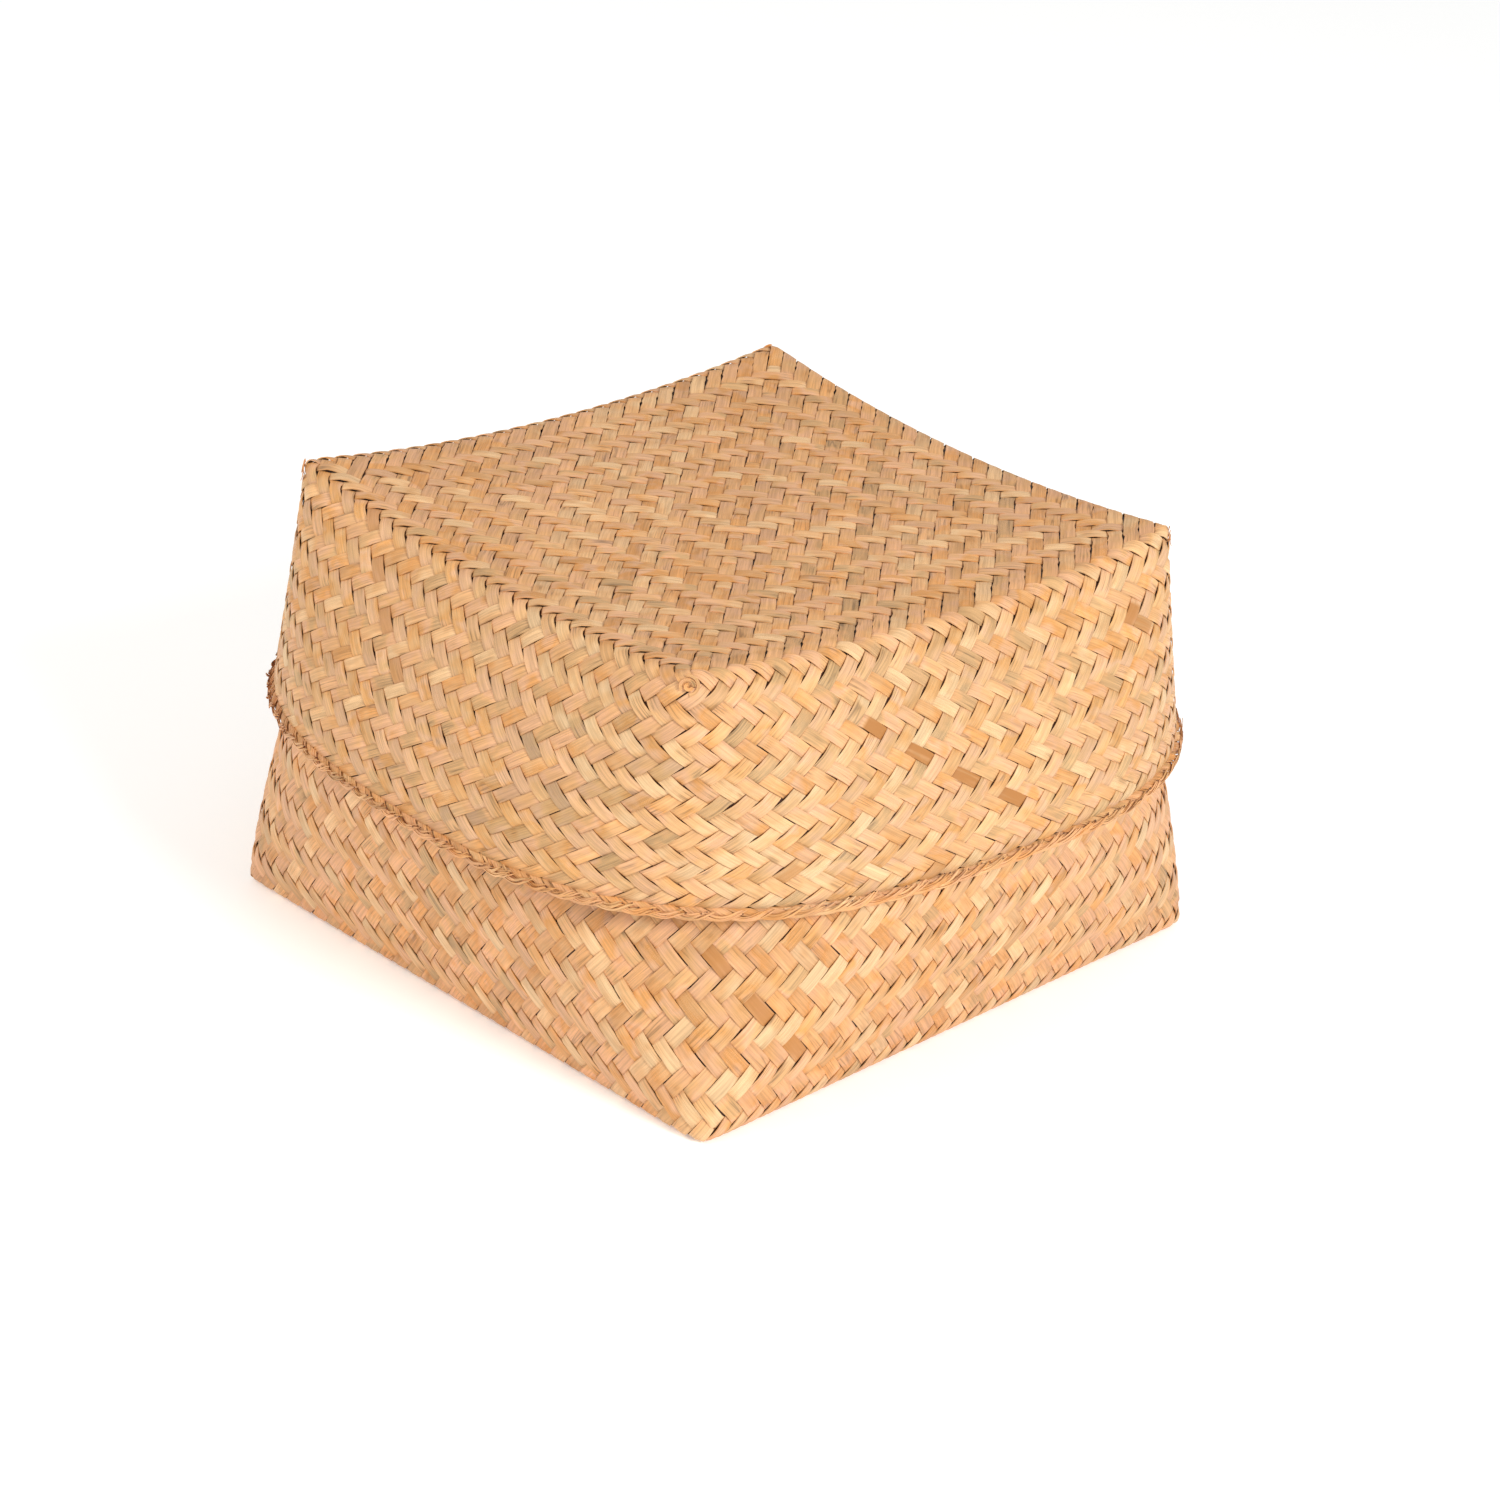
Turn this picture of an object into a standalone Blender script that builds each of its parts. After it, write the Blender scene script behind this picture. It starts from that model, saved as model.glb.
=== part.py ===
"""Lidded bamboo basket: a plaited base with a square foot, and a lid that drops over its mouth.

Both halves start from a square mat of split bamboo and turn into rounded squares towards
their mouths. Each half has an outer weave, a lining, a cane hoop between them at the mouth,
and a border of folded strips that laps over hoop and wall in slanting scales.

Metres, +Z up. The origin is on the ground, under the middle of the base.
"""
import math

import bmesh
import bpy
import numpy as np
from mathutils import Matrix, Vector

# Base
FOOT_SIDE = 0.2800             # floor, from flat to flat
FOOT_CORNER_CUT = 0.0020       # how far a corner of the floor falls short of a true square's
BASE_HEIGHT = 0.1200           # ground to the crown of the border
BASE_BULGE = 1.6               # how soon the middle of a wall swells, 1 is a straight wall
BASE_CORNER_HOLD = 1.25        # how long a corner stays out before it draws in, 1 is straight

# Lid
ROOF_SIDE = 0.2474             # roof, from flat to flat
ROOF_CORNER_CUT = 0.0012       # how far a corner of the roof falls short of a true square's
ROOF_SAG = 0.0094              # how far the roof's edges hang below its four peaks
LID_MOUTH_SIDE = 0.3386        # mouth, from flat to flat, outside the weave
LID_MOUTH_CORNER_CUT = 0.0546  # how far a corner of the mouth falls short of a true square's
LID_HEIGHT = 0.0954            # underside of the border to the roof's peaks
LID_BULGE = 1.3                # how soon the middle of a wall swells below the roof
LID_CORNER_HOLD = 1.1          # how long a corner stays in before it flares

# Weave and border
WEAVE = 0.0012                 # one plaited layer, two strips thick
HOOP = 0.0020                  # diameter of the cane hoop
BORDER_STRIP = 0.0012          # folded strips of the border
BORDER_LAP = 0.0016            # how far the border reaches down over the wall
BORDER_SCALE = 0.0005          # how far each folded strip stands above the one it laps
COLLAR_SPARE = 0.0010          # upright wall beyond the border's lap

# How the two halves meet
SEAT_HEIGHT = 0.0900           # ground to the underside of the lid's border, lid on
LID_TURN = -4.28               # degrees that the lid sits turned on the base
LAYER_GAP = 0.0003             # between pieces that touch
SEAT_GAP = 0.0003              # lid's border to the base's wall, at the closest place
MOUTH_ROOM = 0.0015            # base's border to the lid's lining, at the closest place

# Facets
SEGMENTS = 12                  # along each side of a section
BASE_ROWS = 5                  # from the foot to the shoulder
NECK_ROWS = 2                  # from the shoulder to the collar
LID_ROWS = 6                   # from the collar to the roof
ROW_CROWDING = 1.5             # rows crowd towards the square end, 1 is even
BORDER_STEPS = 3               # stations of the border along one facet, which is one scale
HOOP_RESOLUTION = 1

# What follows from the sizes above
DOUBLE_WALL = 2 * WEAVE + LAYER_GAP
BORDER_RISE = HOOP + 2 * LAYER_GAP + BORDER_STRIP + BORDER_SCALE  # wall's edge to the crown
BORDER_PROUD = LAYER_GAP + BORDER_STRIP + BORDER_SCALE            # border beyond the wall's face
COLLAR = BORDER_LAP + COLLAR_SPARE
SHOULDER_HEIGHT = SEAT_HEIGHT + BORDER_STRIP + BORDER_SCALE       # where the lid's border grips

BAMBOO = {
    "base_outer_weave": (0.69, 0.43, 0.22),
    "base_lining": (0.74, 0.52, 0.30),
    "base_hoop": (0.60, 0.42, 0.22),
    "base_border": (0.72, 0.47, 0.24),
    "lid_outer_weave": (0.72, 0.47, 0.25),
    "lid_lining": (0.76, 0.55, 0.33),
    "lid_hoop": (0.60, 0.42, 0.22),
    "lid_border": (0.74, 0.49, 0.26),
}
BAMBOO_ROUGHNESS = 0.55


class Section:
    """A rounded square: half its width over the flats, and its reach from middle to corner."""

    def __init__(self, half, reach):
        self.half = half
        self.reach = reach
        self.power = 1 / (0.5 - math.log2(reach / half))

    @classmethod
    def from_side(cls, side, corner_cut):
        return cls(side / 2, side / 2 * math.sqrt(2) - corner_cut)

    def inset(self, distance):
        return Section(self.half - distance, self.reach - distance)

    def towards(self, other, flat_share, corner_share):
        """The section part of the way to another, with its own share at flats and corners."""
        return Section(self.half + (other.half - self.half) * flat_share,
                       self.reach + (other.reach - self.reach) * corner_share)

    def point(self, u, v):
        """A point of the mat inside the section: u and v run from -1 to 1."""
        wide = max(abs(u), abs(v))
        ratio = min(abs(u), abs(v)) / wide if wide else 0
        scale = self.half * (1 + ratio ** self.power) ** (-1 / self.power)
        return u * scale, v * scale

    def places(self):
        """Places along a side, from -1 at one corner to 1 at the next.

        On a circle they lie at equal angles, and the squarer the section is, the more they
        crowd towards its corners.
        """
        squareness = 1 - 2 / self.power
        shares = [2 * i / SEGMENTS - 1 for i in range(SEGMENTS + 1)]
        crowded = [math.sin(share * math.pi / 2) for share in shares]
        return [math.tan(math.pi / 4 * (even + (near - even) * squareness))
                for even, near in zip(shares, crowded)]

    def ring(self, height):
        """Points round the section, anticlockwise. The height may be a function of the place."""
        points = []
        for side in range(4):
            quarter = Matrix.Rotation(side * math.pi / 2, 3, "Z")
            for place in self.places()[:-1]:
                x, y = self.point(1, place)
                z = height(place) if callable(height) else height
                points.append(quarter @ Vector((x, y, z)))
        return points


def outward(start, end):
    """Unit vector in plan, square to one step of an anticlockwise ring."""
    return Vector((end.y - start.y, start.x - end.x, 0)).normalized()


def mitres(ring):
    """For each point of a ring, the move that shifts both its sides outwards by 1."""
    found = []
    for i, here in enumerate(ring):
        before = outward(ring[i - 1], here)
        after = outward(here, ring[(i + 1) % len(ring)])
        middle = (before + after).normalized()
        found.append(middle / middle.dot(after))
    return found


def parallel(ring, distance):
    return [point + mitre * distance for point, mitre in zip(ring, mitres(ring))]


def radius_at(ring, bearings):
    """Distance from the middle to the sides of a ring, along each bearing."""
    ends = np.array([point.xy for point in ring])
    share = np.linspace(0, 1, 24, endpoint=False)[:, None, None]
    points = (ends * (1 - share) + np.roll(ends, -1, axis=0) * share).reshape(-1, 2)
    return np.interp(bearings, np.arctan2(points[:, 1], points[:, 0]),
                     np.hypot(points[:, 0], points[:, 1]), period=2 * math.pi)


def room_to_turn(inner_ring, outer_ring):
    """How far the inner ring stands out of the outer one when that is turned as the lid is."""
    bearings = np.linspace(-math.pi, math.pi, 1440, endpoint=False)
    turned = bearings - math.radians(LID_TURN)
    return float(np.max(radius_at(inner_ring, bearings) - radius_at(outer_ring, turned)))


def lid_section(drop):
    """The lid's outside, at a share of the way down from the roof to the mouth."""
    return ROOF.towards(LID_MOUTH, 1 - (1 - drop) ** LID_BULGE, drop ** LID_CORNER_HOLD)


def base_shoulder():
    """The base where the lid's border rests round it: as wide as the turned lid lets it be."""
    inset = DOUBLE_WALL + BORDER_PROUD
    opening = parallel(LID_MOUTH.ring(0), -inset)
    widest = LID_MOUTH.inset(inset)
    return widest.inset(room_to_turn(widest.ring(0), opening) + SEAT_GAP)


def base_mouth():
    """The base's mouth, drawn in so that its border clears the lid's lining all round."""
    lid_wall = LID_HEIGHT - ROOF_SAG
    drop = (SEAT_HEIGHT + LID_HEIGHT - BASE_HEIGHT) / LID_HEIGHT
    slope = LID_BULGE * (LID_MOUTH.half - ROOF.half) / lid_wall
    lining = lid_section(drop).inset(DOUBLE_WALL * math.hypot(1, slope) + BORDER_PROUD)
    ring = lining.ring(0)
    return lining.inset(room_to_turn(ring, ring) + MOUTH_ROOM)


FOOT = Section.from_side(FOOT_SIDE, FOOT_CORNER_CUT)
ROOF = Section.from_side(ROOF_SIDE, ROOF_CORNER_CUT)
LID_MOUTH = Section.from_side(LID_MOUTH_SIDE, LID_MOUTH_CORNER_CUT)
SHOULDER = base_shoulder()
BASE_MOUTH = base_mouth()


def base_rings():
    """Rings of the base's outside, from the ground to the edge inside the border."""
    edge = BASE_HEIGHT - BORDER_RISE
    rings = []
    for row in range(BASE_ROWS + 1):
        rise = (row / BASE_ROWS) ** ROW_CROWDING
        section = FOOT.towards(SHOULDER, 1 - (1 - rise) ** BASE_BULGE, rise ** BASE_CORNER_HOLD)
        rings.append(section.ring(SHOULDER_HEIGHT * rise))
    for row in range(1, NECK_ROWS + 1):
        share = row / NECK_ROWS
        height = SHOULDER_HEIGHT + (edge - COLLAR - SHOULDER_HEIGHT) * share
        rings.append(SHOULDER.towards(BASE_MOUTH, share, share).ring(height))
    rings.append(BASE_MOUTH.ring(edge))
    return rings


def roof_height(u, v):
    """The roof is slack between four peaks at its corners."""
    return LID_HEIGHT - ROOF_SAG * (1 - (u * v) ** 2)


def lid_rings():
    """Rings of the lid's outside, from the edge inside the border up to the roof."""
    collar_top = BORDER_RISE + COLLAR
    rings = [LID_MOUTH.ring(BORDER_RISE)]
    for row in range(LID_ROWS + 1):
        drop = (1 - row / LID_ROWS) ** ROW_CROWDING
        rings.append(lid_section(drop).ring(
            lambda place: roof_height(1, place) + (collar_top - roof_height(1, place)) * drop))
    return rings


def loft(bm, rings):
    """Joins each ring of points to the one above it, and returns the rings of vertices.

    Each four-sided facet is split along its shorter diagonal, so the corners keep their swell.
    """
    loops = [[bm.verts.new(point) for point in ring] for ring in rings]
    facets = []
    for lower, upper in zip(loops, loops[1:]):
        for i, corner in enumerate(lower):
            j = (i + 1) % len(lower)
            facets.append(bm.faces.new((corner, lower[j], upper[j], upper[i])))
    bmesh.ops.triangulate(bm, faces=facets, quad_method="SHORT_EDGE")
    return loops


def base_surface():
    bm = bmesh.new()
    loops = loft(bm, base_rings())
    bm.faces.new(reversed(loops[0]))
    return bm


def lid_surface():
    bm = bmesh.new()
    loft(bm, lid_rings())
    places = ROOF.places()
    grid = [[bm.verts.new((*ROOF.point(u, v), roof_height(u, v))) for v in places] for u in places]
    for near, far in zip(grid, grid[1:]):
        for i in range(SEGMENTS):
            bm.faces.new((near[i], far[i], far[i + 1], near[i + 1]))
    bmesh.ops.remove_doubles(bm, verts=bm.verts, dist=0.00001)
    return bm


def sink(bm, distance):
    """Moves an open surface inwards, each point by the same distance from all its faces."""
    bm.normal_update()
    moves = {}
    for vertex in bm.verts:
        normals = np.array([face.normal for face in vertex.link_faces])
        move = np.linalg.lstsq(normals, np.full(len(normals), -distance), rcond=0.1)[0]
        moves[vertex] = Vector(move)
    for vertex, move in moves.items():
        vertex.co += move


def bamboo(name):
    material = bpy.data.materials.new(name)
    material.use_nodes = True
    shader = material.node_tree.nodes["Principled BSDF"]
    shader.inputs["Base Color"].default_value = (*BAMBOO[name], 1)
    shader.inputs["Roughness"].default_value = BAMBOO_ROUGHNESS
    shader.inputs["Metallic"].default_value = 0
    return material


def add_object(name, data, collection, parent=None):
    """Puts a mesh or curve in the collection, in its own bamboo."""
    data.materials.append(bamboo(name))
    item = bpy.data.objects.new(name, data)
    item.parent = parent
    collection.objects.link(item)
    return item


def add_layer(name, bm, depth, collection, parent=None):
    """One plaited layer: the surface, sunk below the outside by a depth, with its thickness."""
    if depth:
        sink(bm, depth)
    mesh = bpy.data.meshes.new(name)
    bm.to_mesh(mesh)
    bm.free()
    item = add_object(name, mesh, collection, parent)
    wall = item.modifiers.new("weave", "SOLIDIFY")
    wall.thickness = WEAVE
    wall.offset = -1
    wall.use_even_offset = True
    return item


def add_hoop(name, wall_ring, up, collection, parent=None):
    """The cane hoop, which lies on the edges of both layers inside the border."""
    curve = bpy.data.curves.new(name, "CURVE")
    curve.dimensions = "3D"
    curve.twist_mode = "Z_UP"
    curve.bevel_depth = HOOP / 2
    curve.bevel_resolution = HOOP_RESOLUTION
    path = parallel(wall_ring, -DOUBLE_WALL / 2)
    spline = curve.splines.new("POLY")
    spline.points.add(len(path) - 1)
    spline.use_cyclic_u = True
    for point, place in zip(spline.points, path):
        point.co = (place.x, place.y, place.z + up * (LAYER_GAP + HOOP / 2), 1)
    return add_object(name, curve, collection, parent)


def border_profile(step):
    """The border's outline at one station, as moves out from the wall's face and up from its edge.

    The first five points are the folded strips. Each strip stands out a little further than
    the one before it, and a step along the rim shifts it one point round, so it slants.
    """
    inside = -DOUBLE_WALL
    channel = HOOP + 2 * LAYER_GAP
    crown = channel + BORDER_STRIP
    skin = [
        (LAYER_GAP + BORDER_STRIP, -BORDER_LAP, 1, 0),
        (LAYER_GAP + BORDER_STRIP, channel, 1, 0),
        (inside / 2, crown, 0, 1),
        (inside - LAYER_GAP - BORDER_STRIP, channel, -1, 0),
        (inside - LAYER_GAP - BORDER_STRIP, -BORDER_LAP, -1, 0),
    ]
    outline = []
    for i, (out, up, move_out, move_up) in enumerate(skin):
        scale = BORDER_SCALE * ((step - i) % BORDER_STEPS) / (BORDER_STEPS - 1)
        outline.append((out + move_out * scale, up + move_up * scale))
    outline += [
        (inside - LAYER_GAP, -BORDER_LAP),
        (inside - LAYER_GAP, channel),
        (LAYER_GAP, channel),
        (LAYER_GAP, -BORDER_LAP),
    ]
    return outline


def add_border(name, wall_ring, up, collection, parent=None):
    """The folded border: a channel over hoop and wall, lofted through its stations."""
    bm = bmesh.new()
    stations = []
    for i, (here, mitre) in enumerate(zip(wall_ring, mitres(wall_ring))):
        following = wall_ring[(i + 1) % len(wall_ring)]
        side = outward(here, following)
        for step in range(BORDER_STEPS):
            start = here.lerp(following, step / BORDER_STEPS)
            across = side if step else mitre
            stations.append([start + across * out + Vector((0, 0, up * rise))
                             for out, rise in border_profile(step)])
    stations.append(stations[0])
    loft(bm, stations)
    bmesh.ops.remove_doubles(bm, verts=bm.verts, dist=0.00001)
    bmesh.ops.recalc_face_normals(bm, faces=bm.faces)
    mesh = bpy.data.meshes.new(name)
    bm.to_mesh(mesh)
    bm.free()
    return add_object(name, mesh, collection, parent)


def build_base(collection):
    edge = BASE_MOUTH.ring(BASE_HEIGHT - BORDER_RISE)
    add_layer("base_outer_weave", base_surface(), 0, collection)
    add_layer("base_lining", base_surface(), WEAVE + LAYER_GAP, collection)
    add_hoop("base_hoop", edge, 1, collection)
    add_border("base_border", edge, 1, collection)


def build_lid(collection):
    """The lid hangs on an empty that stands on the line it is lifted along."""
    seat = bpy.data.objects.new("lid_seat", None)
    seat.location = (0, 0, SEAT_HEIGHT)
    seat.rotation_euler = (0, 0, math.radians(LID_TURN))
    collection.objects.link(seat)
    edge = LID_MOUTH.ring(BORDER_RISE)
    add_layer("lid_outer_weave", lid_surface(), 0, collection, seat)
    add_layer("lid_lining", lid_surface(), WEAVE + LAYER_GAP, collection, seat)
    add_hoop("lid_hoop", edge, -1, collection, seat)
    add_border("lid_border", edge, -1, collection, seat)


def main():
    for item in list(bpy.data.objects):
        bpy.data.objects.remove(item, do_unlink=True)
    collection = bpy.data.collections.new("lidded_bamboo_basket")
    bpy.context.scene.collection.children.link(collection)
    build_base(collection)
    build_lid(collection)


main()
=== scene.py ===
"""A lidded bamboo basket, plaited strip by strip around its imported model.

Each half starts as a square mat of strips laid on the bias. The mat's four sides are bent into
walls, and past each corner the strips of one wall cross those of the next, up to the mouth.
Metres, +Z up.
"""
import math

import bmesh
import bpy
import numpy as np
from bpy.props import FloatProperty, FloatVectorProperty, IntProperty, PointerProperty
from bpy.types import Operator, Panel, PropertyGroup
from mathutils import Matrix


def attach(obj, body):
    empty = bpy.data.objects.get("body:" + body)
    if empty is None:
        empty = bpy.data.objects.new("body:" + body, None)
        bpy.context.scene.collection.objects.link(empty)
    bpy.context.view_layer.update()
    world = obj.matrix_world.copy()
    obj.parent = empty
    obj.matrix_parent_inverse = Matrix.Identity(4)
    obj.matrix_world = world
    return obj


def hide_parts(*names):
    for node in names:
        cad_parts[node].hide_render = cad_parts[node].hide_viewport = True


bl_info = {
    "name": "Lidded Bamboo Basket",
    "version": (1, 0, 0),
    "blender": (4, 5, 0),
    "location": "View3D > Sidebar > Basket",
    "description": "Plaits a square-footed bamboo basket and its lid, strip by strip",
    "category": "Object",
}

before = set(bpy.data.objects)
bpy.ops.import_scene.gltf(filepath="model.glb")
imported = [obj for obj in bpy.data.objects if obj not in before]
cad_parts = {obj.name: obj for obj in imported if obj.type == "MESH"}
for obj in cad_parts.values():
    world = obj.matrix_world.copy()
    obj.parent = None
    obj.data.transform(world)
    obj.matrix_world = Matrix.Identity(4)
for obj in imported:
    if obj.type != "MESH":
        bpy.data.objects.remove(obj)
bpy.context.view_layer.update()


def length(name, description, default):
    return FloatProperty(name=name, description=description, default=default,
                         unit="LENGTH", precision=5)


def colour(name, description, default):
    return FloatVectorProperty(name=name, description=description, default=default,
                               subtype="COLOR", size=3, min=0, max=1)


def spot(name, description, default):
    return FloatVectorProperty(name=name, description=description, default=default,
                               subtype="XYZ", size=3, unit="LENGTH")


class BaseSizes(PropertyGroup):
    foot_half: length("Foot half", "Middle of the floor to one of its flats", 0.1400)
    foot_reach: length("Foot reach", "Middle of the floor to one of its corners", 0.19599)
    shoulder_half: length("Shoulder half", "Middle to a flat where the lid's border grips", 0.16163)
    shoulder_reach: length("Shoulder reach", "Middle to a corner there", 0.17716)
    shoulder_height: length("Shoulder height", "Ground to where the lid's border grips", 0.0917)
    mouth_half: length("Mouth half", "Middle of the mouth to a flat", 0.14880)
    mouth_reach: length("Mouth reach", "Middle of the mouth to a corner", 0.17070)
    collar_height: length("Collar height", "Ground to where the wall turns upright", 0.1131)
    edge_height: length("Edge height", "Ground to the wall's edge inside the border", 0.1157)
    bulge: FloatProperty(name="Bulge", description="How soon the middle of a wall swells",
                         default=1.6, min=1)
    corner_hold: FloatProperty(name="Corner hold", description="How long a corner stays out",
                               default=1.25, min=1)


class LidSizes(PropertyGroup):
    roof_half: length("Roof half", "Middle of the roof to one of its flats", 0.1237)
    roof_reach: length("Roof reach", "Middle of the roof to one of its corners", 0.17374)
    roof_sag: length("Roof sag", "How far the roof's edges hang below its peaks", 0.0094)
    mouth_half: length("Mouth half", "Middle of the mouth to a flat", 0.1693)
    mouth_reach: length("Mouth reach", "Middle of the mouth to a corner", 0.18483)
    height: length("Height", "Underside of the border to the peaks", 0.0954)
    collar_height: length("Collar height",
                          "Underside of the border to where the wall turns upright", 0.0069)
    edge_height: length("Edge height", "Underside of the border to the wall's edge", 0.0043)
    seat_height: length("Seat height", "Ground to the underside of the border, lid on", 0.0900)
    turn: FloatProperty(name="Turn", description="How far the lid sits turned on the base",
                        default=math.radians(-4.28), subtype="ANGLE")
    bulge: FloatProperty(name="Bulge", description="How soon the middle of a wall swells",
                         default=1.3, min=1)
    corner_hold: FloatProperty(name="Corner hold", description="How long a corner stays in",
                               default=1.1, min=1)


class Plaiting(PropertyGroup):
    base_strips: IntProperty(name="Base strips", default=32, min=4,
                             description="Strips each way across one side of the foot")
    base_rows: FloatProperty(name="Base rows", description="Crossings up a wall", default=25)
    base_row_crowding: FloatProperty(name="Base row crowding", default=0.13,
                                     description="How much taller the rows are at the foot")
    lid_strips: IntProperty(name="Lid strips", default=28, min=4,
                            description="Strips each way across one side of the roof")
    lid_rows: FloatProperty(name="Lid rows", description="Crossings down a wall", default=27.25)
    lid_row_crowding: FloatProperty(name="Lid row crowding", default=0.15,
                                    description="How much taller the rows are at the roof")
    lining_share: FloatProperty(name="Lining share", default=0.625, min=0.2, max=1,
                                description="Strips of the lining for each strip of the outside")
    cover: FloatProperty(name="Cover", description="Strip width for each strip's room",
                         default=0.985, min=0.5, max=1)
    gape: FloatProperty(name="Gape", default=0.05, min=0,
                        description="How far the slits between loose strips open, in strips")
    tight_gape: FloatProperty(name="Tight gape", default=0.014, min=0,
                              description="How far the slits between tight strips open, in strips")
    # Lessens the painted shade on loose strips where they dive
    lighter_dive_shade: FloatProperty(name="Soft dive", default=0.22,
                             description="How much lighter loose strips are where they dive")
    thickness: length("Thickness", "One strip of split bamboo", 0.00042)
    lift: length("Lift", "How far a strip swings out and in as it goes over and under", 0.00042)
    crown: length("Crown", "How far the middle of a strip stands above its edges", 0.00008)
    bow: length("Bow", "How far the middle of a float stands out", 0.0002)
    fold_bow: length("Fold bow", "How much further floats stand out at a fold", 0.0004)
    corner_bow: length("Corner bow", "How much further floats stand out at a corner", 0.0004)
    layer: length("Layer", "One plaited layer, two strips thick", 0.0012)
    layer_gap: length("Layer gap", "Between the outside and the lining", 0.0003)
    wander: FloatProperty(name="Wander", description="How far a strip strays sideways, in strips",
                          default=0.03, min=0)
    steps: IntProperty(name="Steps", description="Facets along a strip for each crossing",
                       default=4, min=2)


class BorderSizes(PropertyGroup):
    width: length("Width", "Across the border, outside to inside", 0.0067)
    height: length("Height", "Border's lap to its crown", 0.0059)
    lap: length("Lap", "How far the border reaches over the wall", 0.0016)
    double_wall: length("Double wall", "Both layers and the gap between them", 0.0027)
    slant: FloatProperty(name="Slant", default=1.1,
                         description="How far a wrapped strip moves along the rim, in strip ends")
    wrap_width: FloatProperty(name="Wrap width", default=0.72,
                              description="Half a wrapped strip's width, in strip ends")
    scale_lift: length("Scale lift", "How far a wrap stands over the next one", 0.0005)
    sink: length("Sink", "How far the wraps lie inside the border's outline", 0.0009)
    pitch: length("Pitch", "From one feather to the next", 0.0074)
    feather_spread: FloatProperty(name="Feather spread", default=0.7,
                                  description="How wide a feather starts, in strip ends")
    feather_rise: length("Feather rise", "How far a feather's tip stands over the next", 0.0016)
    fibre_shadow: FloatProperty(name="Fibre shadow", description="How dark the fibres' edges are",
                                default=0.96)
    fibres: IntProperty(name="Fibres", description="Fibres in a feather", default=6, min=2)
    fibre_width: length("Fibre width", "A fibre of the border, where it is widest", 0.0008)
    fibre_thickness: length("Fibre thickness", "A fibre of the border", 0.00022)
    sweep: FloatProperty(name="Sweep", default=2.2,
                         description="How far a feather runs along the rim, in strip ends")
    curls: IntProperty(name="Curls", description="Curled ends on a roof corner", default=3, min=1)


class BambooColours(PropertyGroup):
    straw: colour("Straw", "Commonest strips", (0.89, 0.49, 0.212))
    pale: colour("Pale", "Palest strips, from the culm's inside", (0.97, 0.64, 0.35))
    pink: colour("Pink", "Pinkish strips", (0.91, 0.51, 0.29))
    orange: colour("Orange", "Orange strips", (0.84, 0.385, 0.11))
    grey: colour("Grey", "Rarest strips, greyish", (0.72, 0.435, 0.20))
    greying: colour("Greying", "Tint of the lengths that went grey", (0.71, 0.77, 0.79))
    brown: colour("Brown", "Stained lengths", (0.44, 0.18, 0.045))
    # Painted shade: gap is the tone deep under other strips, and shade the warm tone on the way
    # under
    gap: colour("Gap", "Tint of strips where they lie under others", (0.10, 0.045, 0.02))
    shade: colour("Shade", "Tint of strips on their way under others", (0.60, 0.47, 0.37))
    # Painted shade: darkens and warms all of the base's strips against the lid's
    base_painted_shade: colour("Base tint", "Tint of the base's strips", (0.985, 0.94, 0.905))
    border_tint: colour("Border tint", "Tint of the borders' fibres", (1.0, 0.93, 0.83))
    floor: colour("Floor", "Light table", (0.94, 0.94, 0.94))


class Studio(PropertyGroup):
    camera_place: spot("Camera place", "Where the lens is", (1.0487, -1.0462, 0.7929))
    azimuth: FloatProperty(name="Azimuth", description="Bearing of the camera's look",
                           default=math.radians(44.62), subtype="ANGLE")
    elevation: FloatProperty(name="Elevation", description="How steeply the camera looks down",
                             default=math.radians(25.99), subtype="ANGLE")
    roll: FloatProperty(name="Roll", description="How far the camera leans",
                        default=math.radians(2.93), subtype="ANGLE")
    lens: FloatProperty(name="Lens", description="Focal length in millimetres", default=95.64)
    key_place: spot("Key place", "Where the soft light on the right hangs", (1.9, -0.2, 1.25))
    key_size: length("Key size", "Across the light on the right", 0.7)
    key_tint: colour("Key tint", "Tint of the light on the right", (0.97, 1, 1))
    key_power: FloatProperty(name="Key power", description="Power of the light on the right",
                             default=31, unit="POWER")
    fill_place: spot("Fill place", "Where the soft light on the left hangs", (-0.9, -1.9, 2.0))
    fill_size: length("Fill size", "Across the light on the left", 1.2)
    fill_tint: colour("Fill tint", "Tint of the light on the left", (1, 0.955, 0.835))
    fill_power: FloatProperty(name="Fill power", description="Power of the light on the left",
                              default=22, unit="POWER")
    sky: FloatProperty(name="Sky", description="Even light from all round", default=0.62)
    table_drop: length("Table drop", "How far the lowest strips hang below the ground", 0.0007)
    table_glow: FloatProperty(name="Table glow", description="Light from the table itself",
                              default=0.25)


class BasketSettings(PropertyGroup):
    base: PointerProperty(type=BaseSizes)
    lid: PointerProperty(type=LidSizes)
    plaiting: PointerProperty(type=Plaiting)
    border: PointerProperty(type=BorderSizes)
    colours: PointerProperty(type=BambooColours)
    studio: PointerProperty(type=Studio)


# Shape of the two halves

SHARES = np.linspace(0, 1, 97)         # places along one side of a section
STEPS_DOWN = np.linspace(0, 1, 121)    # places from a wall's fold to its mouth
FINE_PLACES = np.sin(np.linspace(-math.pi / 2, math.pi / 2, 401))   # closer near the corners
RINGS = np.linspace(0, 1, 33)          # where a wall's sections are drawn, up or down it
NECK_RINGS = np.linspace(0, 1, 9)[1:]  # the same, from the base's shoulder to its collar
RIM_STEP = 0.01                        # sides each way over which the rim's direction is taken


def between(start, end, share):
    """What lies this share of the way from start to end."""
    return start + (end - start) * share


def squareness(half_width, reach):
    """Power of the rounded square that reaches so far to its flats and to its corners."""
    return 1 / (0.5 - math.log2(reach / half_width))


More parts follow.
